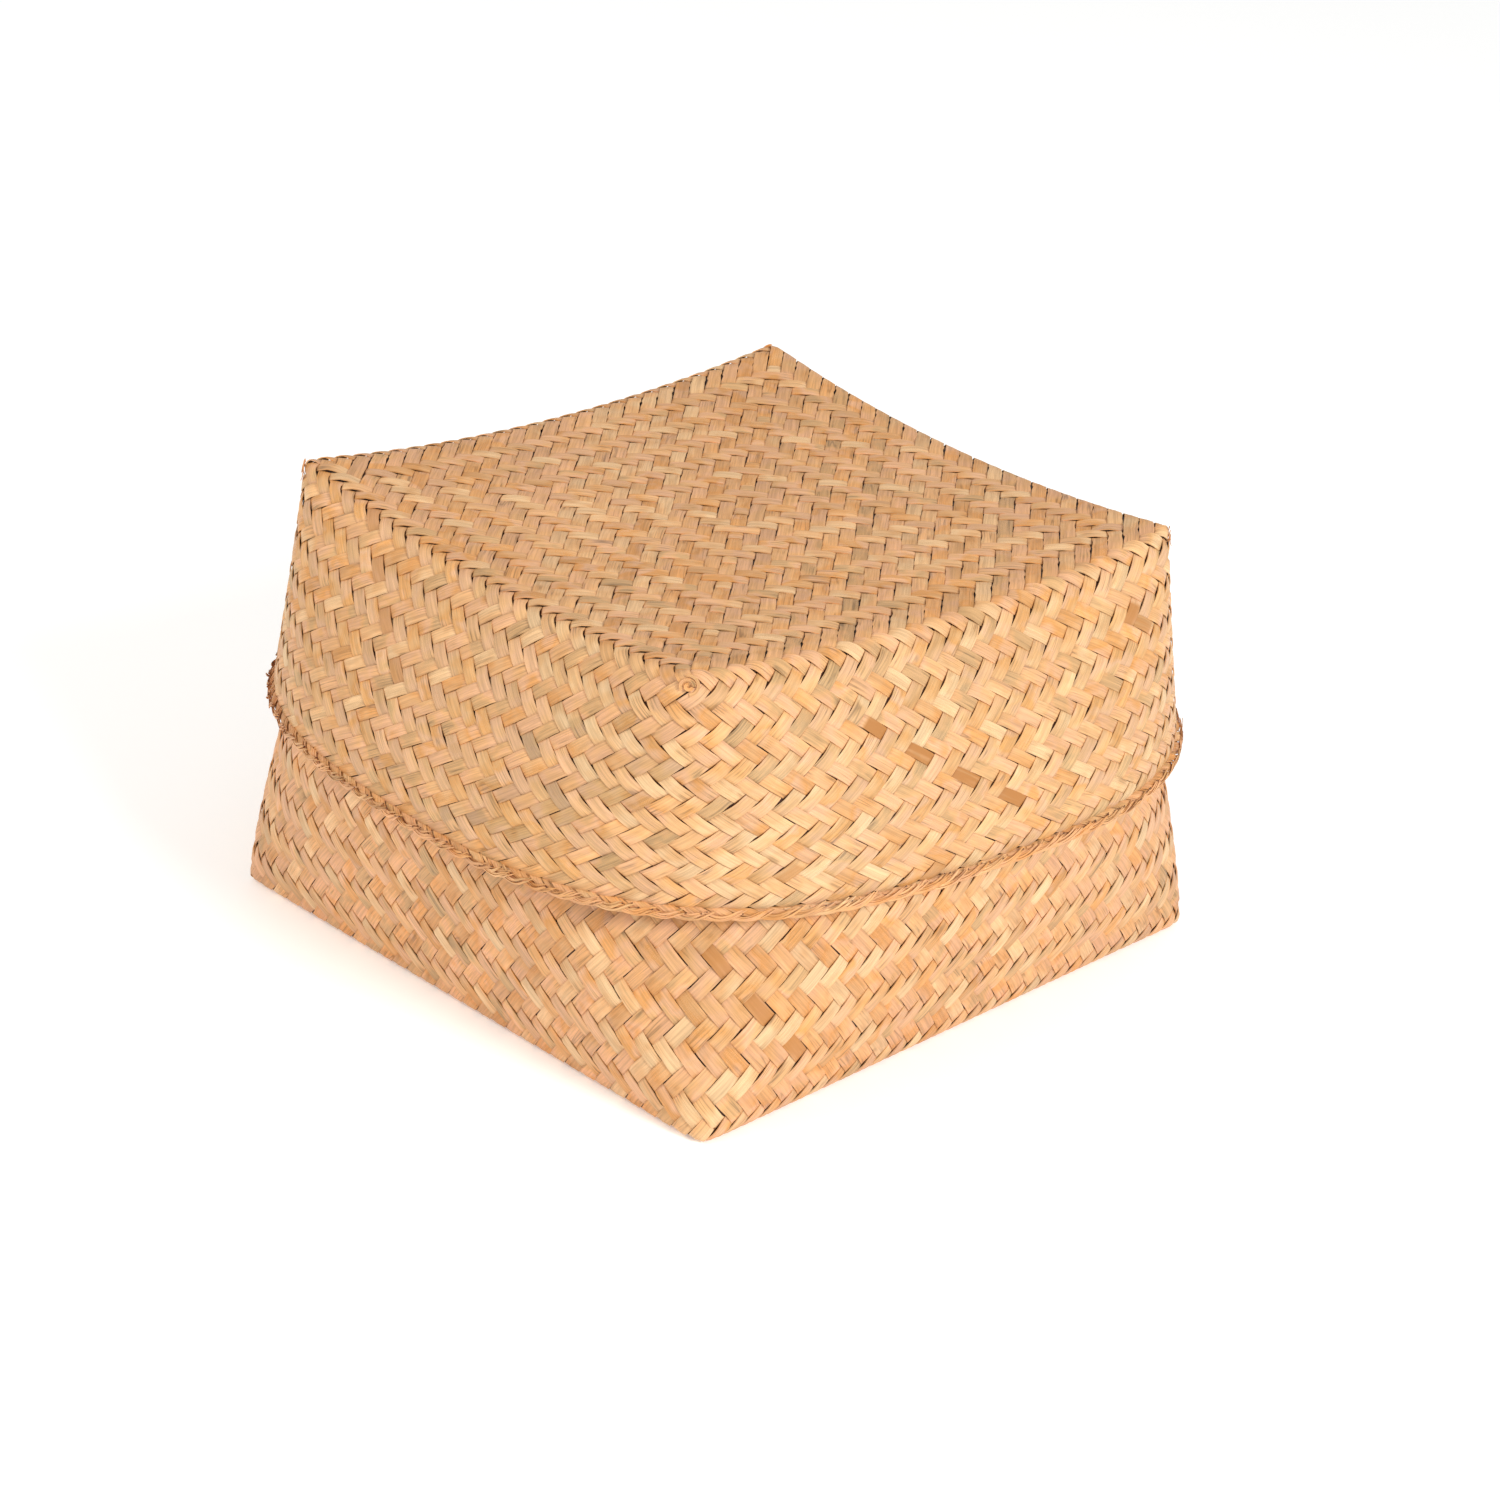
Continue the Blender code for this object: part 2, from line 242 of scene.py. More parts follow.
def walked(points):
    """Distance walked along a line of points, at each of them."""
    return np.insert(np.cumsum(np.linalg.norm(np.diff(points, axis=0), axis=1)), 0, 0)


def rounded_side(half_width, reach, even=True):
    """One side of a rounded square: x, y and place from -1 to 1, at even shares of its length."""
    power = squareness(half_width, reach)
    places = FINE_PLACES if even else 2 * SHARES - 1
    wide = half_width * (1 + np.abs(places) ** power) ** (-1 / power)
    side = np.stack((wide, places * wide, places), 1)
    if not even:
        return side
    distance = walked(side[:, :2])
    return np.stack([np.interp(SHARES * distance[-1], distance, column) for column in side.T], 1)


def ring(x, y, height):
    """One side of a wall's section, at its height."""
    return np.stack((x, y, np.full_like(x, height)), 1)


class Half:
    """One half of the basket: a square mat, and four walls that its sides are bent into."""

    def __init__(self, half_width, reach, mat_height, rings, crowding, seat):
        self.half_width = half_width
        self.power = squareness(half_width, reach)
        self.mat_height = mat_height
        self.seat = seat
        # Points of one wall: rows down it, columns from corner to corner
        self.wall = np.empty((len(STEPS_DOWN), len(SHARES), 3))
        down = STEPS_DOWN * (1 + crowding * (1 - STEPS_DOWN))
        for column in range(len(SHARES)):
            line = rings[:, column]
            distance = walked(line)
            for axis in range(3):
                self.wall[:, column, axis] = np.interp(down * distance[-1], distance, line[:, axis])

    def mat_point(self, u, v):
        """A point of the floor or roof: u and v run from -1 to 1."""
        wide = np.maximum(np.abs(u), np.abs(v))
        ratio = np.minimum(np.abs(u), np.abs(v)) / np.maximum(wide, 1e-9)
        scale = self.half_width * (1 + ratio ** self.power) ** (-1 / self.power)
        return np.stack((u * scale, v * scale, self.mat_height(u, v)), -1)

    def wall_point(self, around, down):
        """A point of the walls: around runs from 0 to 4, a side each, and down from 0 to 1."""
        side = np.floor(around)
        column = (around - side) * (len(SHARES) - 1)
        row = np.clip(down, 0, 1) * (len(STEPS_DOWN) - 1)
        left = np.clip(np.floor(column), 0, len(SHARES) - 2).astype(int)
        top = np.clip(np.floor(row), 0, len(STEPS_DOWN) - 2).astype(int)
        across, below = (column - left)[..., None], (row - top)[..., None]
        near = self.wall[top, left] * (1 - across) + self.wall[top, left + 1] * across
        far = self.wall[top + 1, left] * (1 - across) + self.wall[top + 1, left + 1] * across
        point = near * (1 - below) + far * below
        quarter = side * math.pi / 2
        cos, sin = np.cos(quarter), np.sin(quarter)
        return np.stack((point[..., 0] * cos - point[..., 1] * sin,
                         point[..., 0] * sin + point[..., 1] * cos, point[..., 2]), -1)

    def rim_frame(self, around):
        """Points of the wall's edge, with the outward direction at each."""
        here = self.wall_point(around, 1)
        ahead = self.wall_point(around + RIM_STEP, 1) - self.wall_point(around - RIM_STEP, 1)
        ahead /= np.linalg.norm(ahead, axis=-1, keepdims=True)
        return here, np.stack((ahead[..., 1], -ahead[..., 0], np.zeros(ahead.shape[:-1])), -1)


def base_half(base, crowding=0):
    rings = []
    for rise in RINGS:
        flat, corner = 1 - (1 - rise) ** base.bulge, rise ** base.corner_hold
        x, y, _ = rounded_side(between(base.foot_half, base.shoulder_half, flat),
                               between(base.foot_reach, base.shoulder_reach, corner),
                               even=rise > 0).T
        rings.append(ring(x, y, base.shoulder_height * rise))
    for share in NECK_RINGS:
        x, y, _ = rounded_side(between(base.shoulder_half, base.mouth_half, share),
                               between(base.shoulder_reach, base.mouth_reach, share)).T
        rings.append(ring(x, y, between(base.shoulder_height, base.collar_height, share)))
    rings.append(ring(x, y, base.edge_height))
    return Half(base.foot_half, base.foot_reach, lambda u, v: u * 0, np.array(rings), crowding,
                Matrix.Identity(4))


def lid_half(lid, crowding=0):
    def roof(u, v):
        return lid.height - lid.roof_sag * (1 - (u * v) ** 2)

    rings = []
    for drop in RINGS:
        flat, corner = 1 - (1 - drop) ** lid.bulge, drop ** lid.corner_hold
        x, y, place = rounded_side(between(lid.roof_half, lid.mouth_half, flat),
                                   between(lid.roof_reach, lid.mouth_reach, corner),
                                   even=drop > 0).T
        rings.append(ring(x, y, between(roof(1, place), lid.collar_height, drop)))
    rings.append(ring(x, y, lid.edge_height))
    seat = Matrix.Translation((0, 0, lid.seat_height)) @ Matrix.Rotation(lid.turn, 4, "Z")
    return Half(lid.roof_half, lid.roof_reach, roof, np.array(rings), crowding, seat)


# Plaiting

LENGTHWISE, CROSSWISE = "lengthwise", "crosswise"   # the mat's two families of strips
FLOAT = 4                           # rows in which the twill comes round: over two, under two
DIVE = 0.33, 0.67                   # where a strip goes down or up between two crossings
FOLD_REACH = 1.35                   # strips to each side over which a fold is bent
FOLD_SOFTNESS = tuple((shift, math.cos(shift / FOLD_REACH * math.pi / 2) ** 2)
                      for shift in (-1.05, -0.7, -0.35, 0, 0.35, 0.7, 1.05))
FOLD_SPREAD, CORNER_SPREAD = 3, 6   # strips beside a fold and a corner where floats stand out
SLIT_END = 0.8                      # where a slit has closed, past the strip that dives
SLITS_OPEN = -7, 3                  # strips past a corner between which the slits open
FOLD_GAPE = 0.7                     # how much wider the slits are at a fold
CROSSINGS = 200                     # room for those of the longest strip
LEAST_LUCK, MORE_LUCK, LUCK_POWER = 0.35, 1.1, 1.6  # how much the slits' widths vary
STRAYING = (0.9, 0.6), (0.37, 1.0)  # the two waves in which a strip strays: pace and share
NUMBERS_APART = 100                 # from one piece's strip numbers to the next one's
CREASE = math.radians(50)           # edges bent further than this stay sharp


class Weave:
    """How one layer is plaited, and where a point of its mat comes to lie."""

    def __init__(self, half, strips, rows, outside_up, depth=0, seen_from=1):
        self.half = half
        self.strips = strips
        self.rows = rows
        self.outside_up = outside_up    # true where the mat's upper side is the outside
        self.depth = depth
        self.seen_from = seen_from      # 1 from outside the basket, -1 from inside

    def bend(self, i, j, i_sign, j_sign):
        """Where the mat's point (i, j) comes to lie: on the floor or roof, or on a wall.

        The signs say which quarter of the mat the strip runs over, and so which wall it joins.
        """
        u, v = (i - j) / self.strips, (i + j) / self.strips
        side = np.where(j_sign < 0, np.where(i_sign > 0, 0, 3), np.where(i_sign > 0, 1, 2))
        out = np.choose(side, (u, v, -u, -v))
        along = np.choose(side, (v, -u, -v, u))
        row = (out - 1) * self.strips
        wall = self.half.wall_point(side + (1 + along) / 2, row / self.rows)
        mat = self.half.mat_point(np.clip(u, -1, 1), np.clip(v, -1, 1))
        return np.where((row > 0)[..., None], wall, mat)

    def strip_point(self, family, sign, index, s):
        """A point of a strip, bent softly over the folds. s runs along the strip."""
        total = 0
        for shift, weight in FOLD_SOFTNESS:
            at = s + shift
            if family == LENGTHWISE:
                point = self.bend(at, index, np.sign(at), sign)
            else:
                point = self.bend(index, at, sign, np.sign(at))
            total = total + point * weight
        return total / sum(weight for _, weight in FOLD_SOFTNESS)

    def over(self, family, index, crossing):
        """1 where a strip lies over the one it crosses, and -1 where it lies under.

        On the mat the twill goes in squares round a middle half a strip off. On the walls it
        goes in level rows: two where the strips that lean one way lie over, then two where the
        others do.
        """
        lengthwise = family == LENGTHWISE
        same_sign = crossing * index > 0
        row = np.round(np.abs(crossing) + np.abs(index)) - self.strips
        square = np.round(np.abs(crossing - 0.5) + np.abs(index - 0.5)) + 1
        mat_over = (square % FLOAT < FLOAT / 2) == lengthwise
        wall_over = (row % FLOAT < FLOAT / 2) == (same_sign != lengthwise)
        return np.where(np.where(row < same_sign - 1, mat_over, wall_over), 1, -1)


def smooth_step(low, high, value):
    share = np.clip((value - low) / (high - low), 0, 1)
    return share * share * (3 - 2 * share)


def swing(weave, family, index, s):
    """How far a strip has swung towards whoever looks at it: 1 over a crossing, -1 under it."""
    before = np.floor(s - 0.5) + 0.5
    here, ahead = weave.over(family, index, before), weave.over(family, index, before + 1)
    return between(here, ahead, smooth_step(*DIVE, s - before)) * weave.seen_from


def bow(weave, family, index, s):
    """0 to 1: how far the middle of a float stands out."""
    return np.maximum(swing(weave, family, index, s - 0.5)
                      + swing(weave, family, index, s + 0.5), 0) / 2


def gape(weave, family, index, s, edge, luck):
    """How far this edge of a strip gives way where it lies beside the next, or just past that.

    The slit opens along the strip, and closes again past the corner where another dives.
    """
    crossing = np.floor(s) + 0.5
    along = s - crossing + 0.5
    seen = weave.seen_from
    mine = weave.over(family, index, crossing) * seen > 0
    other = weave.over(family, index + edge, crossing) * seen > 0
    beside = (weave.over(family, index, crossing - 1)
              + weave.over(family, index + edge, crossing - 1)) * seen > 1
    opened = (mine & other) * smooth_step(0, 1, along)
    closing = (mine & ~other & beside) * (1 - smooth_step(0, SLIT_END, along))
    return opened * luck(crossing) + closing * luck(crossing - 1)


def lay_strips_flat(reaches, steps, steps_across=2):
    """Strips laid flat, one above another: X along the strip, Y from edge to edge, Z its number."""
    bm = bmesh.new()
    for number, reach in enumerate(reaches):
        place = Matrix.Translation((0, 0, number)) @ Matrix.Diagonal((reach, 1, 1, 1))
        bmesh.ops.create_grid(bm, x_segments=round(2 * reach * steps), y_segments=steps_across,
                              size=1, matrix=place)
    mesh = bpy.data.meshes.new("strips")
    bm.to_mesh(mesh)
    bm.free()
    return mesh


def read_places(mesh):
    flat = np.empty(len(mesh.vertices) * 3, np.float32)
    mesh.vertices.foreach_get("co", flat)
    return flat.reshape(-1, 3).astype(float)


def write_places(mesh, points):
    mesh.vertices.foreach_set("co", points.astype(np.float32).ravel())
    mesh.update()


def read_normals(mesh):
    normals = np.empty(len(mesh.vertices) * 3, np.float32)
    mesh.vertex_normals.foreach_get("vector", normals)
    return normals.reshape(-1, 3)


def add_attribute(mesh, name, *columns):
    """Gives each vertex a number, or a vector where there are three columns."""
    kind, field = ("FLOAT", "value") if len(columns) == 1 else ("FLOAT_VECTOR", "vector")
    attribute = mesh.attributes.new(name, kind, "POINT")
    attribute.data.foreach_set(field, np.stack(columns, 1).astype(np.float32).ravel())


def thicken(mesh, thickness):
    """Gives a sheet its thickness, inwards, and sharp edges round it."""
    bm = bmesh.new()
    bm.from_mesh(mesh)
    bmesh.ops.solidify(bm, geom=bm.faces[:], thickness=thickness)
    bm.to_mesh(mesh)
    bm.free()
    mesh.polygons.foreach_set("use_smooth", [True] * len(mesh.polygons))
    mesh.set_sharp_from_angle(angle=CREASE)


# Stained lengths of strips: the strip's number, where the length starts and ends along the strip,
# in strips from its middle, and how dark it is
STAINS = {
    "lid_outer_weave_front_strips": ((23, 12.4, 26.6, 1.0), (7, 27.4, 29.6, 0.8)),
    "lid_outer_weave_left_strips": ((22, -19.6, -4.4, 0.6),),
    "lid_outer_weave_right_strips": ((27, -8.6, -6.4, 0.9), (15, -37.6, -34.4, 0.6),
                                     (23, -32.6, -29.4, 0.6)),
    "base_outer_weave_right_strips": ((7, -43.6, -29.4, 0.85),),
}
# Greyish lengths of strips, in the same way, and how grey they are
GREY_LENGTHS = {
    "lid_outer_weave_right_strips": (
        (2, -49.6, -47.4, 0.9), (3, -48.4, -33.4, 0.85), (4, -46.8, -32.2, 1.0),
        (0, -46.6, -44.2, 0.6), (1, -45.6, -43.2, 0.5), (5, -37.8, -35.2, 0.6),
        (0, -35.2, -32.8, 0.7), (6, -45.6, -40.0, 0.5), (8, -42.8, -36.2, 0.6)),
    "lid_outer_weave_left_strips": ((13, -32.2, -25.4, 0.8), (22, -30.2, -27.6, 0.8),
                                    (9, -29.0, -26.6, 0.6)),
    "lid_outer_weave_front_strips": ((24, -26.6, -24.2, 0.6), (25, -26.6, -24.2, 0.7)),
}


def add_piece(name, mesh, material, body, node=None):
    """Adds a mesh as a piece that rides on a body, and may stand for a node."""
    mesh.name = name
    mesh.materials.append(material)
    piece = bpy.data.objects.new(name, mesh)
    bpy.context.scene.collection.objects.link(piece)
    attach(piece, body)
    if node:
        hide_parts(node)
    return piece


def stained_lengths(name, number, s):
    """How far each point of a piece is stained: above 0 it is brown, and below 0 grey."""
    stained = np.zeros(len(s))
    for lengths, way in ((STAINS, 1), (GREY_LENGTHS, -1)):
        for strip, start, end, how_much in lengths.get(name, ()):
            stained += way * how_much * ((number == strip) & (s > start) & (s < end))
    return stained


def plait(name, weave, family, sign, plaiting, material, body, node, seed):
    """Plaits the strips of one family on one side of the mat's middle, as one piece."""
    indexes = sign * (np.arange(weave.strips) + 0.5)
    reaches = weave.strips - np.abs(indexes) + weave.rows
    mesh = lay_strips_flat(reaches, plaiting.steps)
    flat = read_places(mesh)
    number = np.round(flat[:, 2]).astype(int)
    random = np.random.default_rng(seed)
    phases = random.uniform(0, 2 * math.pi, (2, weave.strips))[:, number]
    chance = random.random((weave.strips, 2, CROSSINGS)) ** LUCK_POWER
    facing = 1 if (family == LENGTHWISE) == weave.outside_up else -1
    s, edge, index = flat[:, 0], facing * np.round(flat[:, 1]), indexes[number]

    def luck(crossing):
        column = np.floor(crossing).astype(int) + CROSSINGS // 2
        return LEAST_LUCK + MORE_LUCK * chance[number, (edge > 0).astype(int), column]

    past_fold = np.abs(s) + np.abs(index) - weave.strips
    past_corner = np.abs(s) - np.abs(index) - weave.strips
    at_fold = np.exp(-((past_fold + 0.5) / FOLD_SPREAD) ** 2)
    at_corner = np.exp(-(past_corner / CORNER_SPREAD) ** 2)
    open_slits = smooth_step(*SLITS_OPEN, past_corner)
    if (family == CROSSWISE) == weave.outside_up:
        open_slits = 1 - open_slits
    on_wall = smooth_step(-1, 1, past_fold)
    swung = swing(weave, family, index, s)
    room = weave.half.half_width * math.sqrt(2) / weave.strips
    add_attribute(mesh, "laid_flat", s * room, edge * room / 2, number + seed * NUMBERS_APART)
    # pale: painted sheen on one family of strips above 0, and painted shade on the other below 0
    add_attribute(mesh, "pale", open_slits * (2 * on_wall - 1))
    # The lie's first part paints shade in the material where a strip goes under others
    add_attribute(mesh, "lie", swung + plaiting.lighter_dive_shade * open_slits, edge,
                  stained_lengths(name, number, s))

    loose = between(plaiting.tight_gape, plaiting.gape, open_slits)
    gaping = loose * (1 + FOLD_GAPE * at_fold) * gape(weave, family, index, s, edge, luck)
    across = edge * (plaiting.cover / 2 - gaping)
    stray = sum(share * np.sin(s * pace + phase) for (pace, share), phase in zip(STRAYING, phases))
    write_places(mesh, weave.strip_point(family, sign, index + across + stray * plaiting.wander, s))
    fold_bow = plaiting.fold_bow if weave.outside_up else 0
    bowed = plaiting.bow + fold_bow * at_fold + plaiting.corner_bow * at_corner
    lift = swung * plaiting.lift + plaiting.crown * (1 - edge ** 2)
    lift += bow(weave, family, index, s) * bowed
    lift = weave.seen_from * lift + (plaiting.thickness - plaiting.layer) / 2 - weave.depth
    write_places(mesh, read_places(mesh) + read_normals(mesh) * lift[:, None])
    thicken(mesh, plaiting.thickness)
    mesh.transform(weave.half.seat)
    return add_piece(name, mesh, material, body, node)


def plait_layer(half_name, layer, weave, plaiting, material, seed):
    """Plaits one layer of one half as four pieces, which are named by where they start."""
    node = f"{half_name}_{layer}"
    for family, sign, place in ((LENGTHWISE, -1, "front"), (LENGTHWISE, 1, "back"),
                                (CROSSWISE, -1, "left"), (CROSSWISE, 1, "right")):
        seed += 1
        plait(f"{node}_{place}_strips", weave, family, sign, plaiting, material, half_name,
              node, seed)


def lining_weave(half, strips, rows, outside_up, plaiting):
    """Fewer and wider strips just inside the outer weave, which are seen from inside."""
    return Weave(half, round(strips * plaiting.lining_share), rows * plaiting.lining_share,
                 outside_up, depth=plaiting.layer + plaiting.layer_gap, seen_from=-1)


# Border

CROWN = math.radians(90)            # round the border: 0 is outermost, 90 degrees its crown
WRAP_TURN = math.radians(158)       # how far a wrap turns from the crown each way
WRAP_HALF_LENGTH, WRAP_HALF_WIDTH = 0.012, 0.004    # of a wrap laid flat, in metres
WRAP_STEPS, FIBRE_STEPS, CURL_STEPS = 4, 5, 9       # facets along half of each


def rim_points(half, up, around, angle, stand, border):
    """Points on the border: the angle turns from the outside, over the crown, to the inside."""
    here, outward = half.rim_frame(around % 4)
    out = (border.width / 2 + stand) * np.cos(angle) - border.double_wall / 2
    rise = (border.height / 2 + stand) * np.sin(angle) + border.height / 2 - border.lap
    points = here + outward * out[:, None]
    points[:, 2] += up * rise
    return points


def finish_border(half_name, part, mesh, half, up, thickness, material):
    if up > 0:
        mesh.flip_normals()
    thicken(mesh, thickness)
    mesh.transform(half.seat)
    return add_piece(f"{half_name}_border_{part}", mesh, material, half_name,
                     f"{half_name}_border")


def wrap_border(half_name, half, up, count, border, thickness, material, seed):
    """Strip ends wrapped over the rim on the slant, each lapping the one before it."""
    mesh = lay_strips_flat([1] * count, WRAP_STEPS)
    x, edge, number = read_places(mesh).T
    stand = border.scale_lift * (edge + 1) / 2 * (1 - x ** 4) - border.sink
    along = number + border.slant * x + edge * border.wrap_width
    angle = CROWN + x * WRAP_TURN
    add_attribute(mesh, "laid_flat", x * WRAP_HALF_LENGTH, edge * WRAP_HALF_WIDTH,
                  number + seed * NUMBERS_APART)
    add_attribute(mesh, "lie", np.ones_like(x), edge, np.zeros_like(x))
    write_places(mesh, rim_points(half, up, along / count * 4, angle, stand, border))
    return finish_border(half_name, "wraps", mesh, half, up, thickness, material)


# Fibres of the border. Angles are degrees round it: -90 on the wall's side, 0 outermost, 90 at the
# crown. Runs along the rim are in strip ends, other lengths in metres. A ROPE value is what changes
# where the feathers turn into a rope.
ROPE_BEGINS, ROPE_ENDS = (0.02, 0.12), (0.52, 0.66)         # in sides round the rim
FIBRE_START, ROPE_START = -78, 40               # where fibres come off the wall
FIBRE_TURN, TURN_JITTER, ROPE_TURN = 52, 10, -8     # how far over a feather's first fibre goes
FIBRE_TIP, TIP_JITTER, ROPE_TIP = -26, 24, -14      # where the fibres' tips come to lie
FIBRE_ARC = math.pi * 0.8                       # how far through half a wave a fibre goes
SWEEP_JITTER, SWEEP_FAN, ROPE_SWEEP = 0.5, 0.25, 0.4    # what differs in the run along the rim
ROPE_GATHER = 0.4                               # how much narrower a feather starts in the rope
FIBRE_TAPER = 0.7                               # how much narrower a fibre's tip is
NARROWEST_FIBRE, FIBRE_WIDTH_RANGE = 0.8, 0.4   # how the fibres' widths differ
WILD_ABOVE, WILD_STAND = 0.93, 0.0014           # the few tips that stand far out
LOOSE_BELOW, LOOSE_STAND = 0.5, 0.0004          # the many that stand out a little
FEATHER_PLUMPNESS = 0.0007                      # how far the middle of a feather stands out
LEVEL_SHARE = 0.35                              # where along it a fibre is level with the border
FIBRE_LENGTH, FEATHER_WIDTH, FIBRE_HALF_WIDTH = 0.02, 0.006, 0.0004     # laid flat
FEATHERS_APART, BORDERS_APART = 0.37, 1000      # steps in the numbers that the hues come from
TIP_LENGTH, TIP_LIE, TUCKED_ABOVE = 0.06, -0.3, 0.8     # tips that go dark with painted shade, under the next feather
SHADOW_RISE, ROPE_SHADOW = (0.05, 0.35), 0.08   # where dark edges set in, and less in the rope
FIBRE_STAIN, STAINED_ABOVE = 0.3, 0.9           # the few fibres that are a little brown


def feather_border(half_name, half, up, count, border, material, seed):
    """Split fibres that come down off the wall, turn along the rim and run up again to a tip.

    They make broad feathers round most of the rim, and a thin rope along part of one side.
    """
    total = count * border.fibres
    mesh = lay_strips_flat([1] * total, FIBRE_STEPS)
    flat = read_places(mesh)
    share, edge = (flat[:, 0] + 1) / 2, np.round(flat[:, 1])
    number = np.round(flat[:, 2]).astype(int)
    chance = np.random.default_rng(seed).random((5, total))[:, number]
    feather, place = number // border.fibres, number % border.fibres / (border.fibres - 1)
    around = feather / count * 4
    rope = smooth_step(*ROPE_BEGINS, around) * (1 - smooth_step(*ROPE_ENDS, around))
    start = np.radians(FIBRE_START + ROPE_START * rope)
    turn = np.radians(FIBRE_TURN - FIBRE_TURN * place + TURN_JITTER * (chance[0] - 0.5)
                      + ROPE_TURN * rope * (1 - place))
    tip = np.radians(FIBRE_TIP + ROPE_TIP * rope + TIP_JITTER * (chance[1] - 0.5))
    sweep = (border.sweep + ROPE_SWEEP * rope + SWEEP_JITTER * (chance[2] - 0.5)
             + SWEEP_FAN * (1 - place))
    spread = border.feather_spread * (1 - ROPE_GATHER * rope) * place
    gather = share ** 4
    along = feather + spread * (1 - share) + sweep * share
    swept = between(start, turn, np.sin(FIBRE_ARC * share))
    angle = between(swept, tip, gather)
    run = (sweep - spread) * border.pitch
    climb = ((turn - start) * FIBRE_ARC * np.cos(FIBRE_ARC * share) * (1 - gather)
             + (tip - swept) * 4 * share ** 3) * border.height / 2
    slope = np.hypot(run, climb)
    half_width = border.fibre_width / 2 * (1 - FIBRE_TAPER * gather)
    half_width = half_width * (NARROWEST_FIBRE + FIBRE_WIDTH_RANGE * chance[3])
    along = along - edge * half_width * climb / slope / border.pitch
    angle = angle + edge * half_width * run / slope / (border.height / 2)
    loose = ((chance[4] > WILD_ABOVE) * share ** 3 * WILD_STAND
             + (chance[4] < LOOSE_BELOW) * share ** 4 * LOOSE_STAND)
    plump = np.sin(math.pi * place) * np.sin(math.pi * share) * FEATHER_PLUMPNESS
    stand = border.feather_rise * (share - LEVEL_SHARE) + plump + loose
    add_attribute(mesh, "laid_flat", share * FIBRE_LENGTH,
                  place * FEATHER_WIDTH + edge * FIBRE_HALF_WIDTH,
                  feather * FEATHERS_APART + seed * BORDERS_APART)
    # Painted shade: on the tips tucked under the next feather, and along the fibres' edges
    tuck_shade = (1 - share) / TIP_LENGTH + TIP_LIE + 2 * (chance[3] < TUCKED_ABOVE)
    shadow = border.fibre_shadow * smooth_step(*SHADOW_RISE, share) - ROPE_SHADOW * rope
    add_attribute(mesh, "lie", np.minimum(np.clip(tuck_shade, -1, 1), 1 - shadow * np.abs(edge)), edge,
                  FIBRE_STAIN * (chance[2] > STAINED_ABOVE))
    write_places(mesh, rim_points(half, up, along / count * 4, angle, stand, border))
    return finish_border(half_name, "feathers", mesh, half, up, border.fibre_thickness, material)


# Whorls on the roof's corners, in metres and radians
WHORL_PLACE, BELOW_WHORL = 0.058, 0.12          # shares of the way down a wall's corner
WHORL_JITTER = 0.1                              # how far a curl may start from its place, in turns
CURL_TURN, CURL_JITTER, OUTER_TURN = 4.2, 1.2, -0.6     # how far round each end curls
INNER_RADIUS, RADIUS_STEP = 0.0015, 0.0013      # the innermost curl, and from each to the next
CURL_CLOSING, RADIUS_JITTER = 0.0009, 0.0003    # how much a curl closes in, and how curls differ
CURL_STAND, CURL_RISE, CURL_TILT = 0.0006, 0.0005, 0.0002   # how far curls stand off the wall
CORNER_CURVE = 40                               # how fast the wall falls away beside its corner
CURL_LENGTH, CURL_HALF_WIDTH = 0.008, 0.0006    # of a curl laid flat


def curl_corner_ends(half, border, material, seed):
    """A small whorl of curled strip ends on each corner of the roof."""
    mesh = lay_strips_flat([1] * 4 * border.curls, CURL_STEPS, 1)
    flat = read_places(mesh)
    share, edge = (flat[:, 0] + 1) / 2, flat[:, 1]
    number = np.round(flat[:, 2]).astype(int)
    corner, curl = number // border.curls, number % border.curls
    chance = np.random.default_rng(seed).random((3, 4 * border.curls))[:, number]
    top = half.wall_point(corner + 0.0, np.full_like(share, WHORL_PLACE))
    down = half.wall_point(corner + 0.0, np.full_like(share, BELOW_WHORL)) - top
    down /= np.linalg.norm(down, axis=1, keepdims=True)
    across = np.stack((-top[:, 1], top[:, 0], np.zeros_like(share)), 1)
    across /= np.linalg.norm(across, axis=1, keepdims=True)
    outward = np.cross(across, -down)
    turn = (2 * math.pi * (curl / border.curls + WHORL_JITTER * chance[0])
            + share * (CURL_TURN + CURL_JITTER * chance[1] + OUTER_TURN * curl))
    radius = (INNER_RADIUS + RADIUS_STEP * curl - CURL_CLOSING * share + RADIUS_JITTER * chance[2]
              + edge * CURL_HALF_WIDTH)
    x, y = radius * np.cos(turn), radius * np.sin(turn)
    stand = CURL_STAND + CURL_RISE * share + edge * CURL_TILT - CORNER_CURVE * x ** 2
    points = top + across * x[:, None] + down * y[:, None] + outward * stand[:, None]
    add_attribute(mesh, "laid_flat", share * CURL_LENGTH, edge * CURL_HALF_WIDTH,
                  number + seed * NUMBERS_APART)
    add_attribute(mesh, "lie", np.ones_like(share), edge, np.zeros_like(share))
    write_places(mesh, points)
    thicken(mesh, border.fibre_thickness)
    mesh.transform(half.seat)
    return add_piece("lid_corner_curls", mesh, material, "lid")


# Materials

def new_material(name):
    """A new material, with its node tree and its shader."""
    material = bpy.data.materials.new(name)
    material.use_nodes = True
    return material, material.node_tree, material.node_tree.nodes["Principled BSDF"]


def add_node(tree, kind, place, **settings):
    node = tree.nodes.new(kind)
    node.location = place
    for key, value in settings.items():
        setattr(node, key, value)
    return node


def plug(tree, socket, value):
    """Links a socket to another one, or sets it to a value."""
    if isinstance(value, bpy.types.NodeSocket):
        tree.links.new(value, socket)
    else:
        socket.default_value = value


def calculate(tree, place, operation, *values):
    """One step of arithmetic on sockets and values."""
    node = add_node(tree, "ShaderNodeMath", place, operation=operation)
    for socket, value in zip(node.inputs, values):
        plug(tree, socket, value)
    return node.outputs[0]


